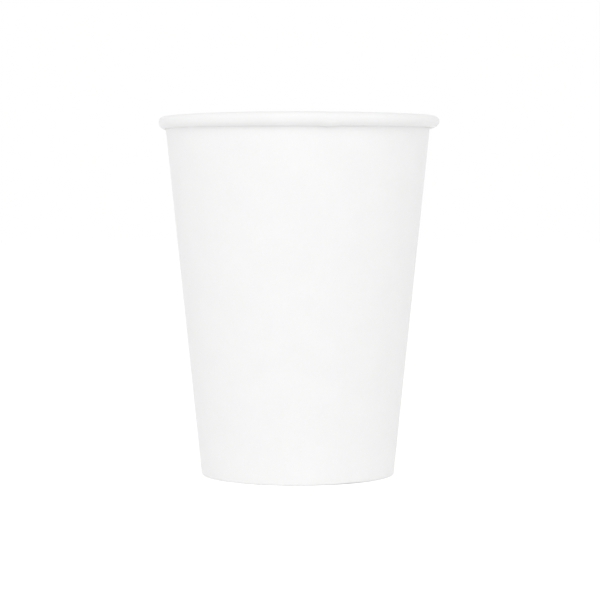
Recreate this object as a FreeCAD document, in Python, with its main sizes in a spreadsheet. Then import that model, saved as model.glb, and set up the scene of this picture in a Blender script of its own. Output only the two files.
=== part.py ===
import FreeCAD, Part
import math
import os
import Sketcher

# A single-wall paper cup: a conical wall rolled out at the rim, lapped and glued down the back,
# and folded in at the foot round the turned-down edge of a recessed bottom disc.
# The origin is the centre of the foot, on the table. +Z is up and the glued lap is at +Y.

doc = FreeCAD.newDocument("paper_cup")

# Millimetres and degrees.
driving_sizes = (
    ("rim_diameter", 89.0),  # over the rolled rim
    ("cup_height", 113.4),
    ("base_diameter", 61.4),  # outside of the wall's cone at table level
    ("wall_board", 0.38),  # thickness of the wall's board
    ("bottom_board", 0.30),
    ("roll_top_radius", 1.7),  # outside of the rim's roll, from its top to its widest
    ("roll_side_radius", 2.5),  # from its widest down and back towards the wall
    ("roll_inset", 0.77),  # from the centre of the roll's top to the outside of the wall
    ("tuck_inside", 0.24),  # inside of the tighter turn that tucks the cut edge up in the roll
    ("roll_gap", 0.12),  # between the tucked turn and the wall
    ("fold_inside", 0.04),  # inside of the two corners of the fold at the foot
    ("bottom_height", 9.0),  # upper face of the bottom disc above the table
    ("hem_clearance", 1.2),  # from the folded-up hem's cut edge to the underside of the disc
    ("corner_radius", 0.8),  # outside of the disc's turned-down corner
    ("glue_gap", 0.05),  # on each side of the disc's skirt
    ("skirt_clearance", 0.12),  # from the skirt's cut edge to the inside of the fold
    ("seam_lap", 7.0),  # width of the glued lap
    ("seam_ramp", 3.0),  # width over which the outer flap comes back to the round
)
sizes = doc.addObject("Spreadsheet::Sheet", "sizes")
for line, (alias, value) in enumerate(driving_sizes, start=1):
    sizes.set(f"A{line}", alias)
    sizes.set(f"B{line}", str(value))
    sizes.setAlias(f"B{line}", alias)
doc.recompute()


def read(formula):
    """A formula's value as a plain number of millimetres, or of degrees for an angle."""
    result = sizes.evalExpression(formula)
    return getattr(result, "Value", result)


# The wall leans from the foot so that it passes the centre of the roll's top at its inset.
roll_out = "(sizes.rim_diameter / 2 - sizes.roll_top_radius)"
roll_up = "(sizes.cup_height - sizes.roll_top_radius)"
roll_beyond_foot = f"({roll_out} - sizes.base_diameter / 2)"
wall_angle = (
    f"(atan({roll_beyond_foot} / {roll_up})"
    f" - asin(sizes.roll_inset / sqrt({roll_beyond_foot} ^ 2 + {roll_up} ^ 2)))"
)
tuck_radius = "(sizes.wall_board + sizes.tuck_inside)"
fold_radius = "(sizes.wall_board + sizes.fold_inside)"
hem_depth = "(2 * sizes.wall_board + sizes.bottom_board + 2 * sizes.glue_gap)"
hem_height = "(sizes.bottom_height - sizes.bottom_board - sizes.hem_clearance)"
lean = math.radians(read(wall_angle))


def cone_radius(level):
    """Outside of the wall at a height above the table."""
    return f"(sizes.base_diameter / 2 + ({level}) * tan({wall_angle}))"


def across(depth):
    """The horizontal width of a depth measured square to the wall."""
    return f"(({depth}) / cos({wall_angle}))"


into_wall = FreeCAD.Vector(-math.cos(lean), math.sin(lean), 0)  # square to it, in (radius, height)


def new_body(label):
    body = doc.addObject("PartDesign::Body", label)
    body.Label = label
    return body


def new_sketch(body, plane, name, level=None):
    sketch = body.newObject("Sketcher::SketchObject", name)
    origin_plane = next(f for f in body.Origin.OriginFeatures if f.Role == plane)
    sketch.AttachmentSupport = [(origin_plane, "")]
    sketch.MapMode = "FlatFace"
    if level:
        sketch.setExpression("AttachmentOffset.Base.z", level)
    return sketch


def constrain(sketch, *terms):
    return sketch.addConstraint(Sketcher.Constraint(*terms))


def dimension(sketch, name, formula, *terms):
    """A constraint whose value comes from the sheet."""
    value = read(formula)
    if terms[0] == "Angle":
        value = math.radians(value)
    sketch.renameConstraint(constrain(sketch, *terms, value), name)
    sketch.setExpression(f"Constraints.{name}", formula)


class BoardSection:
    """The section of a folded strip of board. Its outer face is a chain of lines and arcs that
    run smoothly into each other. Its inner face is the same chain, one board's thickness to
    the left. Each stretch is kept as its number in the sketch, its first and its last point."""

    def __init__(self, sketch, thickness):
        self.sketch = sketch
        self.thickness = thickness
        self.board = read(thickness)
        self.outer = []
        self.inner = []

    def add_stretch(self, shapes, first, last):
        for face, shape in zip((self.outer, self.inner), shapes):
            face.append((self.sketch.addGeometry(shape, False), first, last))
            if len(face) > 1:
                before, after = face[-2], face[-1]
                constrain(self.sketch, "Tangent", before[0], before[2], after[0], after[1])
        return self.outer[-1][0]

    def line(self, start, end):
        along = (end - start).normalize()
        left = FreeCAD.Vector(-along.y, along.x, 0) * self.board
        shapes = Part.LineSegment(start, end), Part.LineSegment(start + left, end + left)
        number = self.add_stretch(shapes, 1, 2)
        constrain(self.sketch, "Parallel", number, self.inner[-1][0])
        return number

    def arc(self, centre, radius, start, end):
        """From one angle to another: a left turn if it rises, which has the inner face inside."""
        left_turn = end > start
        inner_radius = radius - self.board if left_turn else radius + self.board
        shapes = [
            Part.ArcOfCircle(Part.Circle(centre, FreeCAD.Vector(0, 0, 1), r), *sorted((start, end)))
            for r in (radius, inner_radius)
        ]
        first, last = (1, 2) if left_turn else (2, 1)
        number = self.add_stretch(shapes, first, last)
        constrain(self.sketch, "Coincident", number, 3, self.inner[-1][0], 3)
        return number

    def close(self):
        """The two cut edges, square to the faces, and the board's thickness."""
        for outer, inner, end in (
            (self.outer[0], self.inner[0], 1),
            (self.outer[-1], self.inner[-1], 2),
        ):
            corners = [self.sketch.getPoint(face[0], face[end]) for face in (outer, inner)]
            edge = self.sketch.addGeometry(Part.LineSegment(*corners), False)
            constrain(self.sketch, "Coincident", edge, 1, outer[0], outer[end])
            constrain(self.sketch, "Coincident", edge, 2, inner[0], inner[end])
            if isinstance(self.sketch.Geometry[outer[0]], Part.LineSegment):
                constrain(self.sketch, "Perpendicular", edge, outer[0])
            else:
                constrain(self.sketch, "PointOnObject", outer[0], 3, edge)
        first_outer, first_inner = self.outer[0][0], self.inner[0][0]
        dimension(
            self.sketch, "thickness", self.thickness, "Distance", first_outer, 1, first_inner
        )


def turn(body, sketch, name):
    """The sketch turned a full circle about the cup's axis."""
    revolution = body.newObject("PartDesign::Revolution", name)
    revolution.Profile = sketch
    revolution.ReferenceAxis = (sketch, ["V_Axis"])
    revolution.Angle = 360
    body.Tip = revolution


def draw_wall_section(body):
    """Hem, fold, wall and rolled rim, from the hem's cut edge to the one inside the roll."""
    sketch = new_sketch(body, "XZ_Plane", "wall_section")
    section = BoardSection(sketch, "sizes.wall_board")
    fold = read(fold_radius)
    fold_at_wall = FreeCAD.Vector(
        read(f"{cone_radius(fold_radius)} - {across(fold_radius)}"), fold, 0
    )
    fold_at_hem = FreeCAD.Vector(
        read(f"{cone_radius(fold_radius)} - {across(f'{hem_depth} - {fold_radius}')}"), fold, 0
    )
    hem_edge = FreeCAD.Vector(
        read(f"{cone_radius(hem_height)} - {across(hem_depth)}"),
        read(hem_height),
        0,
    )
    down = FreeCAD.Vector(0, -fold, 0)

    # The roll starts in a shoulder that carries the wall over to its top.
    roll = FreeCAD.Vector(read(roll_out), read(roll_up), 0)
    top_inset = read(f"{roll_out} - {cone_radius('sizes.cup_height')}") * math.cos(lean)
    shoulder_inside = (top_inset + read("sizes.wall_board") * math.sin(lean)) / (1 - math.sin(lean))
    shoulder = roll + FreeCAD.Vector(
        0, read("sizes.roll_top_radius - sizes.wall_board") - shoulder_inside, 0
    )

    # Below its widest the roll flattens, then tucks up inside, clear of the wall by the gap.
    flatter = read("sizes.roll_side_radius - sizes.roll_top_radius")
    side = roll - FreeCAD.Vector(flatter, 0, 0)
    side_inset = read("sizes.roll_inset") - flatter * math.cos(lean)
    tuck_offset = read(f"sizes.roll_side_radius - {tuck_radius}")
    tuck_inset = read(f"{tuck_radius} + sizes.roll_gap")
    tuck_angle = -math.acos((tuck_inset - side_inset) / tuck_offset) - lean
    tuck = side + FreeCAD.Vector(math.cos(tuck_angle), math.sin(tuck_angle), 0) * tuck_offset

    hem = section.line(hem_edge, fold_at_hem + into_wall * fold)
    hem_corner = section.arc(fold_at_hem, fold, math.pi - lean, math.pi * 1.5)
    foot = section.line(fold_at_hem + down, fold_at_wall + down)
    wall_corner = section.arc(fold_at_wall, fold, -math.pi / 2, -lean)
    wall = section.line(fold_at_wall - into_wall * fold, shoulder + into_wall * shoulder_inside)
    shoulder_arc = section.arc(shoulder, shoulder_inside, math.pi - lean, math.pi / 2)
    roll_arc = section.arc(roll, read("sizes.roll_top_radius - sizes.wall_board"), math.pi / 2, 0)
    side_arc = section.arc(side, read("sizes.roll_side_radius - sizes.wall_board"), 0, tuck_angle)
    tuck_arc = section.arc(tuck, read("sizes.tuck_inside"), tuck_angle, -math.pi * 1.5)
    section.close()

    cone_foot = sketch.addGeometry(
        Part.Point(FreeCAD.Vector(read("sizes.base_diameter / 2"), 0, 0)), True
    )
    constrain(sketch, "PointOnObject", cone_foot, 1, -1)
    constrain(sketch, "PointOnObject", cone_foot, 1, wall)
    dimension(
        sketch, "base_radius", "sizes.base_diameter / 2", "DistanceX", -1, 1, cone_foot, 1
    )
    dimension(sketch, "roll_inset", "sizes.roll_inset", "Distance", roll_arc, 3, wall)
    constrain(sketch, "Parallel", hem, wall)
    dimension(sketch, "hem_depth", hem_depth, "Distance", hem, 1, wall)
    dimension(sketch, "hem_height", hem_height, "DistanceY", -1, 1, hem, 1)
    constrain(sketch, "PointOnObject", foot, 1, -1)
    constrain(sketch, "Horizontal", foot)
    constrain(sketch, "Equal", hem_corner, wall_corner)
    dimension(sketch, "fold_radius", fold_radius, "Radius", wall_corner)
    dimension(sketch, "roll_out", roll_out, "DistanceX", -1, 1, roll_arc, 3)
    dimension(sketch, "roll_up", roll_up, "DistanceY", -1, 1, roll_arc, 3)
    for name, arc, radius in (
        ("roll_inside", roll_arc, "sizes.roll_top_radius - sizes.wall_board"),
        ("side_inside", side_arc, "sizes.roll_side_radius - sizes.wall_board"),
        ("tuck_inside", tuck_arc, "sizes.tuck_inside"),
    ):
        dimension(sketch, name, radius, "Radius", arc)
    constrain(sketch, "Vertical", shoulder_arc, 3, roll_arc, 3)
    constrain(sketch, "Horizontal", roll_arc, 3, side_arc, 3)
    dimension(
        sketch, "tuck_inset", f"{tuck_radius} + sizes.roll_gap", "Distance", tuck_arc, 3, wall
    )
    constrain(sketch, "Vertical", tuck_arc, 3, tuck_arc, 1)
    return sketch


def draw_lap_level(body, name, level, corners):
    """A level cut through one side of the glued lap. Each corner is a radius, a distance round
    the wall from the middle of the lap, and whether the way there runs round the wall."""
    sketch = new_sketch(body, "XY_Plane", name, level)
    points = []
    for radius, along, _ in corners:
        angle = f"(({along}) / {cone_radius(level)} * 1 rad)"
        points.append((f"{radius} * sin({angle})", f"{radius} * cos({angle})"))
    spots = [FreeCAD.Vector(read(x), read(y), 0) for x, y in points]
    stretches = []
    for index, (_, _, round_wall) in enumerate(corners):
        start, end = spots[index - 1], spots[index]
        if round_wall:
            circle = Part.Circle(FreeCAD.Vector(0, 0, 0), FreeCAD.Vector(0, 0, 1), end.Length)
            angles = [math.atan2(spot.y, spot.x) for spot in (start, end)]
            shape = Part.ArcOfCircle(circle, *sorted(angles))
            ends = (1, 2) if angles[0] < angles[1] else (2, 1)
        else:
            shape = Part.LineSegment(start, end)
            ends = (1, 2)
        number = sketch.addGeometry(shape, False)
        stretches.append((number, *ends))
        dimension(sketch, f"x{index}", points[index][0], "DistanceX", -1, 1, number, ends[1])
        if round_wall:
            constrain(sketch, "Coincident", number, 3, -1, 1)
        else:
            dimension(sketch, f"y{index}", points[index][1], "DistanceY", -1, 1, number, ends[1])
    for before, after in zip(stretches, stretches[1:] + stretches[:1]):
        constrain(sketch, "Coincident", before[0], before[2], after[0], after[1])
    return sketch


def loft(body, kind, name, sketches):
    feature = body.newObject(kind, name)
    feature.Profile = sketches[0]
    feature.Sections = [sketches[1]]
    feature.Ruled = True
    body.Tip = feature


def make_side_wall():
    body = new_body("side_wall")
    turn(body, draw_wall_section(body), "wall_turned")

    # Outside, the upper flap lies one board proud over the lap, then ramps back to the round.
    # Inside, the lower flap ends in a cut edge and leaves the same ramp as a hollow.
    board = across("sizes.wall_board")
    lap_top = f"{roll_up} - sizes.roll_side_radius - sizes.roll_gap"
    start, end = "-sizes.seam_lap / 2", "sizes.seam_lap / 2"
    ramp_end = "(sizes.seam_lap / 2 + sizes.seam_ramp)"

    def upper_flap(level):
        outside = cone_radius(level)
        middle = f"({outside} - {board} / 2)"
        proud = f"({outside} + {board})"
        return (
            (middle, start, True),
            (proud, start, False),
            (proud, end, True),
            (outside, ramp_end, False),
            (middle, ramp_end, False),
        )

    def lower_flap_end(level):
        outside = cone_radius(level)
        inside = f"({outside} - {board})"
        clear = f"({outside} - 2 * {board})"
        return (
            (clear, end, True),
            (outside, end, False),
            (inside, ramp_end, False),
            (clear, ramp_end, False),
        )

    for kind, name, outline, foot_level in (
        ("PartDesign::AdditiveLoft", "upper_flap", upper_flap, fold_radius),
        ("PartDesign::SubtractiveLoft", "lower_flap_end", lower_flap_end, "sizes.bottom_height"),
    ):
        levels = (("foot", foot_level), ("rim", lap_top))
        sketches = [
            draw_lap_level(body, f"{name}_{place}", level, outline(level)) for place, level in levels
        ]
        loft(body, kind, name, sketches)
    return body


def make_bottom_disc():
    """A flat disc whose edge is turned down into a skirt between the wall and the hem."""
    body = new_body("bottom_disc")
    sketch = new_sketch(body, "XZ_Plane", "disc_section")
    section = BoardSection(sketch, "sizes.bottom_board")
    wall_gap = across("sizes.wall_board + sizes.glue_gap")
    skirt_level = "(sizes.wall_board + sizes.skirt_clearance)"
    skirt_radius = f"{cone_radius(skirt_level)} - {wall_gap}"
    corner_level = "(sizes.bottom_height - sizes.corner_radius)"
    corner = FreeCAD.Vector(
        read(f"{cone_radius(corner_level)} - {wall_gap} - {across('sizes.corner_radius')}"),
        read(corner_level),
        0,
    )
    radius = read("sizes.corner_radius")
    skirt_edge = FreeCAD.Vector(read(skirt_radius), read(skirt_level), 0)
    rise = FreeCAD.Vector(0, radius, 0)

    skirt = section.line(skirt_edge, corner - into_wall * radius)
    corner_arc = section.arc(corner, radius, -lean, math.pi / 2)
    panel = section.line(corner + rise, FreeCAD.Vector(0, corner.y + radius, 0))
    section.close()
    dimension(sketch, "skirt_radius", skirt_radius, "DistanceX", -1, 1, skirt, 1)
    dimension(sketch, "skirt_level", skirt_level, "DistanceY", -1, 1, skirt, 1)
    dimension(sketch, "skirt_angle", f"90 deg - {wall_angle}", "Angle", skirt)
    dimension(sketch, "corner_radius", "sizes.corner_radius", "Radius", corner_arc)
    constrain(sketch, "Horizontal", panel)
    constrain(sketch, "PointOnObject", panel, 2, -2)
    dimension(sketch, "bottom_height", "sizes.bottom_height", "DistanceY", -1, 1, panel, 2)
    turn(body, sketch, "disc_turned")
    return body


side_wall = make_side_wall()
bottom_disc = make_bottom_disc()
doc.recompute()

for item in doc.Objects:
    if any(word in item.State for word in ("Invalid", "Error")):
        raise RuntimeError(f"{item.Label} did not build")
    if item.TypeId == "Sketcher::SketchObject" and not item.FullyConstrained:
        raise RuntimeError(f"{item.Label} is not fully constrained")
volumes = [feature.Shape.Volume for feature in side_wall.Group if hasattr(feature, "Profile")]
if not volumes[0] < volumes[1] > volumes[2]:
    raise RuntimeError("the lap was not added outside and cut inside")

os.makedirs("parts", exist_ok=True)
for body in (side_wall, bottom_disc):
    shape = body.Shape
    if shape.isNull() or not shape.isValid() or len(shape.Solids) != 1:
        raise RuntimeError(f"{body.Label} is not one sound solid")
    shape.exportStep(f"parts/{body.Label}.step")
    print(body.Label, round(shape.Volume, 1), "cubic mm")
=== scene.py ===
import math

import bpy
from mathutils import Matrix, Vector, noise


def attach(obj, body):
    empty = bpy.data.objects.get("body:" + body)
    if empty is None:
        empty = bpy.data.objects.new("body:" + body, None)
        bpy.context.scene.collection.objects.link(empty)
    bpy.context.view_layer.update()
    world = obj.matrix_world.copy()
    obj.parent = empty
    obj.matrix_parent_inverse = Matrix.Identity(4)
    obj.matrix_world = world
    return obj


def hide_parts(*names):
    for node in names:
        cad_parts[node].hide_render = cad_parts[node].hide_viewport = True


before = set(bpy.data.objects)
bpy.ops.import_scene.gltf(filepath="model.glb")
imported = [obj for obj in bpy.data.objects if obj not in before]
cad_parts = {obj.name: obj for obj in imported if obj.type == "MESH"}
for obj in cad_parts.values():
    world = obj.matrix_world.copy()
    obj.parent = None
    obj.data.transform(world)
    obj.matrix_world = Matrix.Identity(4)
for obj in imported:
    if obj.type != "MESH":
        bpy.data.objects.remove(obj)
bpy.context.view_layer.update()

mm = 0.001
print("frame loaded:", sorted(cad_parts))


# shader nodes

class Link:
    # one output socket, so that sums and products of values can be written as they read
    def __init__(self, tree, socket):
        self.tree = tree
        self.socket = socket

    def calculate(self, operation, first, second=None):
        node = self.tree.nodes.new("ShaderNodeMath")
        node.operation = operation
        for place, value in enumerate((first, second)):
            if isinstance(value, Link):
                self.tree.links.new(value.socket, node.inputs[place])
            elif value is not None:
                node.inputs[place].default_value = value
        return Link(self.tree, node.outputs[0])

    def __add__(self, other):
        return self.calculate("ADD", self, other)

    def __radd__(self, other):
        return self.calculate("ADD", other, self)

    def __sub__(self, other):
        return self.calculate("SUBTRACT", self, other)

    def __rsub__(self, other):
        return self.calculate("SUBTRACT", other, self)

    def __mul__(self, other):
        return self.calculate("MULTIPLY", self, other)

    def __rmul__(self, other):
        return self.calculate("MULTIPLY", other, self)


class Finish:
    # a material or world, with its nodes
    def __init__(self, owner):
        self.owner = owner
        owner.use_nodes = True
        self.tree = owner.node_tree
        self.tree.nodes.clear()

    def add(self, kind, settings=None, sockets=None, output=0):
        node = self.tree.nodes.new(kind)
        for name, value in (settings or {}).items():
            setattr(node, name, value)
        for name, value in (sockets or {}).items():
            if isinstance(value, Link):
                self.tree.links.new(value.socket, node.inputs[name])
            else:
                node.inputs[name].default_value = value
        if not node.outputs:
            return None
        return Link(self.tree, node.outputs[output])

    def cloud(self, place, size, detail=2.0, roughness=0.5, stretch=(1, 1, 1)):
        # soft noise whose lumps are about this many metres across
        scaled = self.add("ShaderNodeMapping", {}, {
            "Vector": place, "Scale": [share / size for share in stretch]})
        return self.add("ShaderNodeTexNoise", {}, {
            "Vector": scaled, "Scale": 1.0, "Detail": detail, "Roughness": roughness})

    def tint(self, share, low, high):
        # from one colour to another as a value goes from 0 to 1
        return self.add("ShaderNodeMix", {"data_type": "RGBA", "clamp_factor": True}, {
            0: share, 6: (*low, 1.0), 7: (*high, 1.0)}, output=2)


def stretchContrast(value, ends):
    return (value - ends[0]) * (1 / (ends[1] - ends[0]))


fibres = {  # the same in every board
    "alongShare": 0.6, "alongStretch": (1.0, 1.0, 0.35), "acrossStretch": (0.4, 0.4, 1.1),
    "detail": 4.0, "roughness": 0.65, "range": (0.35, 0.65), "cloudRange": (0.3, 0.7),
    "reliefShare": 0.55,  # the rest of the relief is the tooth
    "coatRoughness": 0.25,
}


def makeBoard(name, look):
    # white board: fibres, a cloudy sheet and a fine tooth
    finish = Finish(bpy.data.materials.new(name))
    place = finish.add("ShaderNodeTexCoord", output=3)
    sheet = stretchContrast(finish.cloud(place, look["cloudSize"], 3.0), fibres["cloudRange"])
    tooth = stretchContrast(finish.cloud(place, look["toothSize"], 2.0, 0.6), fibres["cloudRange"])
    along, across = [
        finish.cloud(place, look["fibreSize"], fibres["detail"], fibres["roughness"], stretch)
        for stretch in (fibres["alongStretch"], fibres["acrossStretch"])]
    mat = stretchContrast(
        along * fibres["alongShare"] + across * (1 - fibres["alongShare"]), fibres["range"])
    tone = sheet * look["cloudShare"] + mat * (1 - look["cloudShare"])
    colour = finish.tint(tone, look["dark"], look["light"])
    relief = mat * fibres["reliefShare"] + tooth * (1 - fibres["reliefShare"])
    normal = finish.add("ShaderNodeBump", {}, {
        "Strength": look["bumpStrength"], "Distance": look["bumpDepth"], "Height": relief})
    shader = finish.add("ShaderNodeBsdfPrincipled", {}, {
        "Base Color": colour,
        "Roughness": look["roughness"] + (mat - 0.5) * look["roughnessSpread"],
        "IOR": look["ior"],
        "Coat Weight": look["coat"],
        "Coat Roughness": fibres["coatRoughness"],
        "Normal": normal,
    })
    finish.add("ShaderNodeOutputMaterial", {}, {"Surface": shader})
    return finish.owner


boardLook = {
    "outside": {  # smooth uncoated board
        "dark": (0.915, 0.915, 0.912), "light": (0.945, 0.945, 0.943),
        "cloudSize": 9 * mm, "cloudShare": 0.45, "toothSize": 0.16 * mm, "fibreSize": 0.55 * mm,
        "bumpStrength": 0.35, "bumpDepth": 0.02 * mm,
        "roughness": 0.62, "roughnessSpread": 0.10, "ior": 1.45, "coat": 0.0,
    },
    "inside": {  # the side with the thin film, which also shows on the rolled rim
        "dark": (0.915, 0.915, 0.911), "light": (0.943, 0.943, 0.940),
        "cloudSize": 12 * mm, "cloudShare": 0.55, "toothSize": 0.35 * mm, "fibreSize": 0.9 * mm,
        "bumpStrength": 0.22, "bumpDepth": 0.02 * mm,
        "roughness": 0.52, "roughnessSpread": 0.06, "ior": 1.46, "coat": 0.03,
    },
    "hem": {
        "dark": (0.905, 0.905, 0.900), "light": (0.940, 0.940, 0.936),
        "cloudSize": 6 * mm, "cloudShare": 0.45, "toothSize": 0.16 * mm, "fibreSize": 0.55 * mm,
        "bumpStrength": 0.5, "bumpDepth": 0.03 * mm,
        "roughness": 0.62, "roughnessSpread": 0.10, "ior": 1.45, "coat": 0.0,
    },
    "cutEdge": {  # bare fibres
        "dark": (0.80, 0.785, 0.755), "light": (0.90, 0.89, 0.87),
        "cloudSize": 1.5 * mm, "cloudShare": 0.3, "toothSize": 0.08 * mm, "fibreSize": 0.25 * mm,
        "bumpStrength": 0.8, "bumpDepth": 0.04 * mm,
        "roughness": 0.88, "roughnessSpread": 0.10, "ior": 1.4, "coat": 0.0,
    },
}
boardFinishes = [
    makeBoard("smooth outside of the board", boardLook["outside"]),
    makeBoard("filmed inside of the board", boardLook["inside"]),
    makeBoard("rolled hem", boardLook["hem"]),
    makeBoard("cut edge of the board", boardLook["cutEdge"]),
]
finishSlot = {"outside": 0, "inside": 1, "hem": 2, "edge": 3}
print("finishes made")


# the section of a folded strip of board, in millimetres from the axis and above the table:
# every point has the way to the board's other face, to the left of the run

sharpAngle = math.radians(38)


def runLine(points, start, end, count, kind):
    along = (Vector(end) - Vector(start)).normalized()
    left = Vector((-along.y, along.x))
    for step in range(count + 1):
        spot = Vector(start).lerp(Vector(end), step / count)
        addPoint(points, spot, left, kind)


def runArc(points, centre, radius, start, end, count, kind):
    for step in range(count + 1):
        angle = start + (end - start) * step / count
        out = Vector((math.cos(angle), math.sin(angle)))
        addPoint(points, Vector(centre) + out * radius, -out if end > start else out, kind)


def addPoint(points, spot, left, kind):
    same = 1e-4  # millimetres
    if points and (points[-1][0] - spot).length < same:
        points[-1] = (spot, left, kind)
    else:
        points.append((spot, left, kind))


def ease(value):
    value = min(max(value, 0.0), 1.0)
    return value * value * (3 - 2 * value)


def makeMesh(name, rings, strips, closed):
    # rings of points round the section, joined one to the next; strips gives each face's finish
    size = len(rings[0])
    half = size // 2
    corners = [corner * mm for ring in rings for corner in ring]
    faces, slots = [], []
    for row in range(len(rings) if closed else len(rings) - 1):
        after = (row + 1) % len(rings)
        for side in range(size):
            beside = (side + 1) % size
            quad = [
                row * size + side, after * size + side,
                after * size + beside, row * size + beside]
            if closed and side == half - 1:
                # the section ends short of the axis: a fan on each face closes the middle
                faces += [quad[:2] + [len(corners)], quad[2:] + [len(corners) + 1]]
                slots += [strips[side - 1], strips[side + 1]]
            else:
                faces.append(quad)
                slots.append(strips[side])
    if closed:
        for place in (half - 1, half):
            middle = sum((ring[place] for ring in rings), Vector()) / len(rings)
            corners.append(middle * mm)
    else:
        for row, flip in ((0, False), (len(rings) - 1, True)):
            for side in range(half - 1):
                across = (side, side + 1, size - 2 - side, size - 1 - side)
                quad = [row * size + place for place in across]
                faces.append(quad[::-1] if flip else quad)
                slots.append(finishSlot["edge"])
    mesh = bpy.data.meshes.new(name)
    mesh.from_pydata([tuple(corner) for corner in corners], [], faces)
    for finish in boardFinishes:
        mesh.materials.append(finish)
    mesh.polygons.foreach_set("material_index", slots)
    mesh.polygons.foreach_set("use_smooth", [True] * len(faces))
    mesh.set_sharp_from_angle(angle=sharpAngle)
    mesh.update()
    piece = bpy.data.objects.new(name, mesh)
    bpy.context.scene.collection.objects.link(piece)
    return piece


# side wall

wall = {  # millimetres
    "rimDiameter": 89.0, "height": 113.4, "baseDiameter": 61.4, "board": 0.38,
    "rollTop": 1.7, "rollSide": 2.5, "rollInset": 0.77, "tuckRadius": 0.62, "rollGap": 0.12,
    "foldRadius": 0.42, "hemHeight": 7.5, "hemDepth": 1.16,
    "hemRibs": 84, "ribDepth": 0.12,  # pressed in by the roller that closes the hem
    "lap": 7.0, "ramp": 3.0, "glue": 0.012,
    # where both flaps are rolled together the curl's end is wider and stops short of the wall
    "lapTuck": 0.21, "lapSweep": 0.158, "sweepLoss": 1.6,
    # the doubled board lifts the foot there, up to a height, fading over another
    "liftHeight": 0.5, "liftFade": 2.0,
    "rollUneven": 0.21,  # how much wider the roll is on the right than on the left
    "rollFront": 0.04, "rollSides": -0.11,  # how much taller it is there
    "rimLeft": -0.10, "rimRight": 0.24,  # how much higher the rim stands at each side
    "rimWave": 0.05, "rimWaves": 3.6, "rimWaveRise": 29, "rimWavePlace": 7,
    "wallWave": 0.05, "wallWaves": 1.7, "wallWaveRise": 60,
    # degrees to the right of the front, half of the width there, and the amount
    "dents": ((12.6, 2.6, 0.10),),  # how much taller the roll is there
    "footGaps": ((33.0, 14.0, 0.16),),  # how far the foot stands off the table there
    "stepsRound": 420, "stepsLap": 8, "stepsRamp": (6, 8),
    "stepsUp": {"hem": 8, "fold": 5, "wall": 26, "shoulder": 8, "roll": 12, "tuck": 8},
}


def roundPlace(angle, radius, height):
    return Vector((math.sin(angle) * radius, math.cos(angle) * radius, height))


def wallLean():
    out = wall["rimDiameter"] / 2 - wall["rollTop"] - wall["baseDiameter"] / 2
    up = wall["height"] - wall["rollTop"]
    return math.atan(out / up) - math.asin(wall["rollInset"] / math.hypot(out, up))


lean = wallLean()


def wallRadius(height):
    return wall["baseDiameter"] / 2 + height * math.tan(lean)


def wallShift(angle, height):
    # the board isn't perfectly round
    place = roundPlace(angle, wall["wallWaves"], height / wall["wallWaveRise"])
    return noise.noise(place) * wall["wallWave"]


def wallSection(doubled):
    # doubled is 1 where both flaps lie on each other
    board, fold = wall["board"], wall["foldRadius"]
    slant = math.cos(lean)
    across = Vector((-slant, math.sin(lean)))
    foldWall = Vector((wallRadius(fold) - fold / slant, fold))
    foldHem = Vector((wallRadius(fold) - (wall["hemDepth"] - fold) / slant, fold))
    hemTop = wall["hemHeight"]
    hemEdge = Vector((wallRadius(hemTop) - wall["hemDepth"] / slant, hemTop))
    down = Vector((0, -fold))
    roll = Vector((wall["rimDiameter"] / 2 - wall["rollTop"], wall["height"] - wall["rollTop"]))
    inset = (roll.x - wallRadius(wall["height"])) * slant
    shoulderInside = (inset + board * math.sin(lean)) / (1 - math.sin(lean))
    shoulder = Vector((roll.x, wall["height"] - board - shoulderInside))
    flatter = wall["rollSide"] - wall["rollTop"]
    side = roll - Vector((flatter, 0))
    tuckAway = wall["rollSide"] - wall["tuckRadius"]
    sideInset = wall["rollInset"] - flatter * slant
    turn = -math.acos((wall["tuckRadius"] + wall["rollGap"] - sideInset) / tuckAway) - lean
    tuckInside = wall["tuckRadius"] - board + wall["lapTuck"] * doubled
    tuckFromSide = wall["rollSide"] - board - tuckInside
    tuck = side + Vector((math.cos(turn), math.sin(turn))) * tuckFromSide
    sweep = max(1 - wall["sweepLoss"] * doubled, wall["lapSweep"])
    quarter = math.pi / 2
    tuckEnd = turn - (3 * quarter + turn) * sweep
    steps = wall["stepsUp"]
    points = []
    runLine(points, hemEdge, foldHem + across * fold, steps["hem"], "hem")
    runArc(points, foldHem, fold, math.pi - lean, 3 * quarter, steps["fold"], "fold")
    runLine(points, foldHem + down, foldWall + down, 1, "fold")
    runArc(points, foldWall, fold, -quarter, -lean, steps["fold"], "wall")
    wallTop = shoulder + across * shoulderInside
    runLine(points, foldWall - across * fold, wallTop, steps["wall"], "wall")
    runArc(points, shoulder, shoulderInside, math.pi - lean, quarter, steps["shoulder"], "roll")
    runArc(points, roll, wall["rollTop"] - board, quarter, 0, steps["roll"], "roll")
    runArc(points, side, wall["rollSide"] - board, 0, turn, steps["roll"], "roll")
    runArc(points, tuck, tuckInside, turn, tuckEnd, steps["tuck"], "tuck")
    return points


def roundSteps():
    # places round the wall from the lower flap's cut edge to the upper flap's:
    # a share of the open round, and millimetres from the middle of the lap
    lap, ramp = wall["lap"], wall["ramp"]
    count, lapCount = wall["stepsRound"], wall["stepsLap"]
    rampIn, rampOut = wall["stepsRamp"]
    across = [lap / 2 - lap * step / lapCount for step in range(lapCount + 1)]
    places = [(0.0, along) for along in across]
    places += [(0.0, -lap / 2 - ramp * step / rampIn) for step in range(1, rampIn + 1)]
    places += [(step / count, None) for step in range(1, count)]
    places += [(1.0, lap / 2 + ramp - ramp * step / rampOut) for step in range(rampOut)]
    places += [(1.0, along) for along in across]
    return places


def amountAt(places, angle):
    rightOfFront = math.degrees(math.atan2(math.sin(angle), -math.cos(angle)))
    return sum(
        amount * math.exp(-((rightOfFront - middle) / width) ** 2)
        for middle, width, amount in places)


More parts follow.
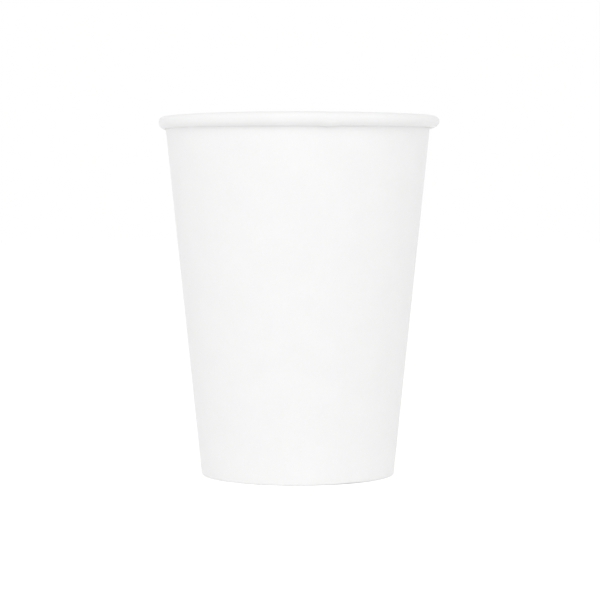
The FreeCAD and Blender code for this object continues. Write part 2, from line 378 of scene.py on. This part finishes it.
def makeSideWall():
    edge = wall["lap"] / 2 + wall["ramp"]
    layer = wall["board"] + wall["glue"]
    top = wallRadius(wall["height"] - wall["rollTop"] - wall["rollSide"])
    rings = []
    for share, along in roundSteps():
        lower = share == 0.0
        over = under = 0.0
        if along is not None:
            # over the lap the upper flap lies one board out from the lower one
            over = 0.0 if lower else ease((edge - along) / wall["ramp"])
            under = ease((edge + along) / wall["ramp"]) if lower else 0.0
        doubled = max(over, under)
        proud = over * layer
        section = wallSection(doubled)
        shoulderStart = next(spot for spot, left, kind in section if kind == "roll")
        outer, inner = [], []
        for spot, left, kind in section:
            radius = min(wallRadius(spot.y), top)
            if along is None:
                angle = -edge / radius - share * (2 * math.pi - 2 * edge / radius)
            else:
                angle = along / radius - (0.0 if lower else 2 * math.pi)
            lift = doubled * layer + amountAt(wall["footGaps"], angle)
            lift *= 1 - ease((spot.y - wall["liftHeight"]) / wall["liftFade"])
            right = math.sin(angle)
            taller = wall["rollFront"] + (wall["rollSides"] - wall["rollFront"]) * right ** 2
            taller += amountAt(wall["dents"], angle)
            reach = spot.x - proud * left.x
            rise = spot.y - proud * left.y + lift
            pressed = 0.0
            if kind == "hem":
                pressed = wall["ribDepth"] * (0.5 + 0.5 * math.cos(wall["hemRibs"] * angle))
            if kind in ("roll", "tuck"):
                wider = 1 + wall["rollUneven"] * right
                reach = shoulderStart.x + (reach - shoulderStart.x) * wider
                rise = wall["height"] + (rise - wall["height"]) * (1 + taller)
                waveRise = spot.y / wall["rimWaveRise"] + wall["rimWavePlace"]
                wave = noise.noise(roundPlace(angle, wall["rimWaves"], waveRise))
                rise += wave * wall["rimWave"]
                rise += wall["rimRight"] * right ** 4 if right > 0 else wall["rimLeft"] * right ** 2
            for face, depth in ((outer, pressed), (inner, wall["board"])):
                distance = reach + left.x * depth + wallShift(angle, spot.y)
                face.append(roundPlace(angle, distance, rise + left.y * depth))
        rings.append(outer + inner[::-1])
    kinds = [kind for spot, left, kind in section]
    strips = [finishSlot["hem" if kind == "hem" else "outside"] for kind in kinds[1:]]
    strips += [finishSlot["edge"]] + [finishSlot["inside"]] * (len(kinds) - 1)
    strips += [finishSlot["edge"]]
    return makeMesh("sideWall", rings, strips, closed=False)


sideWall = makeSideWall()
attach(sideWall, "root")
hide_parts("side_wall")
print("side wall made:", len(sideWall.data.polygons), "faces")


# bottom disc

bottom = {  # millimetres
    "board": 0.30, "height": 9.0, "corner": 0.8, "glueGap": 0.05,
    "skirtEdge": 1.0,  # the skirt's cut edge above the table, hidden in the fold
    "fan": 0.4,  # the section stops this far from the axis
    "dish": 0.25,  # how far the middle sags
    "ripple": 0.10, "rippleSize": 14, "ripplePlace": 3.0,
    "pleats": 54, "pleatDepth": 0.05, "pleatRun": 1.6,  # how far they run in from the corner
    "pleatSway": ((5, 2.5), (11, 1.0)),  # how often round, and by how much, they crowd together
    "skirtPleats": 0.35,
    "stepsRound": 324, "stepsSkirt": 6, "stepsCorner": 7, "stepsPanel": 22,
}


def bottomSection():
    slant = math.cos(lean)
    across = Vector((-slant, math.sin(lean)))
    gap = (wall["board"] + bottom["glueGap"]) / slant
    radius, height = bottom["corner"], bottom["height"]
    corner = Vector((wallRadius(height - radius) - gap - radius / slant, height - radius))
    skirtFoot = Vector((wallRadius(bottom["skirtEdge"]) - gap, bottom["skirtEdge"]))
    points = []
    runLine(points, skirtFoot, corner - across * radius, bottom["stepsSkirt"], "skirt")
    runArc(points, corner, radius, -lean, math.pi / 2, bottom["stepsCorner"], "corner")
    panelEdge = corner + Vector((0, radius))
    runLine(points, panelEdge, (bottom["fan"], height), bottom["stepsPanel"], "panel")
    return points


def makeBottomDisc():
    section = bottomSection()
    widest = next(spot.x for spot, left, kind in section if kind == "panel")
    rings = []
    for step in range(bottom["stepsRound"]):
        angle = -2 * math.pi * step / bottom["stepsRound"]
        sway = sum(amount * math.sin(often * angle) for often, amount in bottom["pleatSway"])
        pleat = math.cos(bottom["pleats"] * angle + sway)
        outer, inner = [], []
        for spot, left, kind in section:
            middle = max(0.0, 1 - (spot.x / widest) ** 2) if kind == "panel" else 0.0
            sag = bottom["dish"] * middle
            crimp = bottom["pleatDepth"] * (0.5 + 0.5 * pleat)
            if kind == "panel":
                crimp *= math.exp(-((widest - spot.x) / bottom["pleatRun"]) ** 2)
            elif kind == "skirt":
                crimp *= bottom["skirtPleats"] * spot.y / bottom["height"]
            ripplePlace = roundPlace(angle, spot.x / bottom["rippleSize"], bottom["ripplePlace"])
            ripple = noise.noise(ripplePlace) * bottom["ripple"] * middle
            shift = wallShift(angle, spot.y) * (1 - middle)
            for face, depth in ((outer, 0.0), (inner, bottom["board"])):
                place = spot + left * (depth + crimp)
                face.append(roundPlace(angle, place.x + shift, place.y - sag + ripple))
        rings.append(outer + inner[::-1])
    strips = [finishSlot["inside"]] * len(section)
    strips += [finishSlot["outside"]] * (len(section) - 1) + [finishSlot["edge"]]
    return makeMesh("bottomDisc", rings, strips, closed=True)


bottomDisc = makeBottomDisc()
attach(bottomDisc, "root")
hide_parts("bottom_disc")
print("bottom disc made:", len(bottomDisc.data.polygons), "faces")


# room, lamps and camera

room = {
    "floorColour": (0.955, 0.955, 0.955), "floorDark": (0.94545, 0.94545, 0.94545),
    "floorGrain": 0.02, "floorLift": 0.34, "floorSize": 8.0,
    "overhead": 0.52, "level": 1.20,  # how bright the studio is straight up and at eye level
    "lampPlace": (-0.08, -1.20, 0.98), "lampAim": (0, 0, 0.06),
    "lampSize": 1.1, "lampWatts": 4.3,
}


def cameraShare(finish):
    # 1 for what the camera sees straight, in a mirror or through glass
    straight, mirrored, through = [
        finish.add("ShaderNodeLightPath", output=place) for place in (0, 3, 6)]
    direct = straight.calculate("MAXIMUM", straight, mirrored)
    return direct.calculate("MAXIMUM", direct, through)


def makeFloor():
    finish = Finish(bpy.data.materials.new("pale floor"))
    grain = finish.cloud(finish.add("ShaderNodeTexCoord", output=3), room["floorGrain"], 3.0)
    shader = finish.add("ShaderNodeBsdfPrincipled", {}, {
        "Base Color": finish.tint(grain, room["floorDark"], room["floorColour"]),
        "Roughness": 0.9,
        "Specular IOR Level": 0.0,
    })
    # brighter to the camera alone, so that the floor looks white
    lift = finish.add("ShaderNodeEmission", {}, {
        "Color": (1, 1, 1, 1), "Strength": room["floorLift"]})
    lifted = finish.add("ShaderNodeAddShader", {}, {0: shader, 1: lift})
    seen = finish.add("ShaderNodeMixShader", {}, {0: cameraShare(finish), 1: shader, 2: lifted})
    finish.add("ShaderNodeOutputMaterial", {}, {"Surface": seen})
    half = room["floorSize"] / 2
    corners = [(-half, -half, 0), (half, -half, 0), (half, half, 0), (-half, half, 0)]
    mesh = bpy.data.meshes.new("floor")
    mesh.from_pydata(corners, [], [(0, 1, 2, 3)])
    mesh.materials.append(finish.owner)
    floor = bpy.data.objects.new("floor", mesh)
    bpy.context.scene.collection.objects.link(floor)


def makeStudio():
    # white to the camera; on the cup, brightest at eye level
    world = Finish(bpy.data.worlds.new("plain studio"))
    direction = world.add("ShaderNodeTexCoord", output=0)
    upward = world.add("ShaderNodeSeparateXYZ", {}, {"Vector": direction}, 2)
    steepness = upward.calculate("ABSOLUTE", upward)
    shade = world.tint(steepness, [room["level"]] * 3, [room["overhead"]] * 3)
    plain = world.add("ShaderNodeBackground", {}, {"Color": shade, "Strength": 1.0})
    white = world.add("ShaderNodeBackground", {}, {"Color": (1, 1, 1, 1), "Strength": 1.0})
    mixed = world.add("ShaderNodeMixShader", {}, {0: cameraShare(world), 1: plain, 2: white})
    world.add("ShaderNodeOutputWorld", {}, {"Surface": mixed})
    bpy.context.scene.world = world.owner

    lamp = bpy.data.lights.new("front", "AREA")
    lamp.shape = "DISK"
    lamp.size = room["lampSize"]
    lamp.energy = room["lampWatts"]
    holder = bpy.data.objects.new("front", lamp)
    holder.location = room["lampPlace"]
    aim = Vector(room["lampAim"]) - Vector(room["lampPlace"])
    holder.rotation_euler = aim.to_track_quat("-Z", "Y").to_euler()
    bpy.context.scene.collection.objects.link(holder)


view = {
    "distance": 650.0, "right": 0.71, "height": 85.07,  # millimetres
    "down": 2.616,  # degrees
    "sensor": 36.0, "focus": 2040.8 / 600,  # focal length in picture widths
}


def makeCamera():
    camera = bpy.data.cameras.new("camera")
    camera.sensor_width = view["sensor"]
    camera.lens = view["sensor"] * view["focus"]
    camera.clip_start = 0.01
    holder = bpy.data.objects.new("camera", camera)
    holder.location = Vector((view["right"], -view["distance"], view["height"])) * mm
    holder.rotation_euler = (math.radians(90 - view["down"]), 0, 0)
    bpy.context.scene.collection.objects.link(holder)
    bpy.context.scene.camera = holder


for leftover in ("Cube", "Light", "Camera"):
    if leftover in bpy.data.objects:
        bpy.data.objects.remove(bpy.data.objects[leftover])
makeFloor()
makeStudio()
makeCamera()
bpy.context.scene.view_settings.view_transform = "Standard"
print("room, lamps and camera set")
